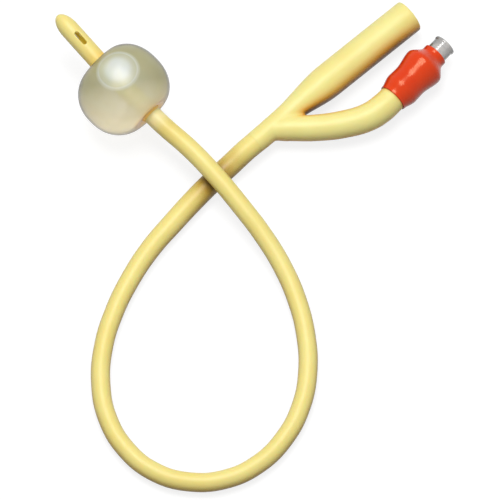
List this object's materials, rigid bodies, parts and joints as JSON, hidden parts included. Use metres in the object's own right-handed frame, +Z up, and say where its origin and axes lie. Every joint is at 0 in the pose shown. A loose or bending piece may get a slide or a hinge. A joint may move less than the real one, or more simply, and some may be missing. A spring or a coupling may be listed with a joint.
{
  "type": "balloon urinary catheter",
  "caption": "Latex urinary catheter with a water-filled balloon, side eyes near its tip, a drainage funnel and a sprung inflation valve on a side arm.",
  "frame": {"origin": "on the table, under the middle of the box round the Y connector and the valve", "axes": "+X the way the drainage funnel faces, +Z up from the table"},
  "size_m": [0.1667, 0.1536, 0.0286],
  "materials": {
    "latex": "smooth pale yellow latex with a soft sheen",
    "membrane": "stretched, milky and translucent",
    "water": "clear sterile water",
    "red_rubber": "glossy red",
    "clear_plastic": "clear, slightly grey",
    "white_plastic": "plain white moulding",
    "black_rubber": "matt black",
    "spring_steel": "drawn stainless wire"
  },
  "bodies": {
    "root": {"shaft": "latex", "tip": "latex", "y_connector": "latex", "balloon": "membrane", "balloon_water": "water", "valve_sleeve": "red_rubber", "valve_body": "clear_plastic", "valve_tail": "white_plastic", "valve_spring": "spring_steel"},
    "plunger": {"valve_plunger": "white_plastic", "valve_seal": "black_rubber"}
  },
  "joints": [
    {"name": "plunger_slide", "type": "slide", "parent": "root", "child": "plunger", "axis": [-0.9925, -0.1219, 0], "range_m": [0, 0.0015], "stiffness_N_per_m": 300, "springref_m": -0.0008, "deforming": ["valve_spring"]}
  ]
}
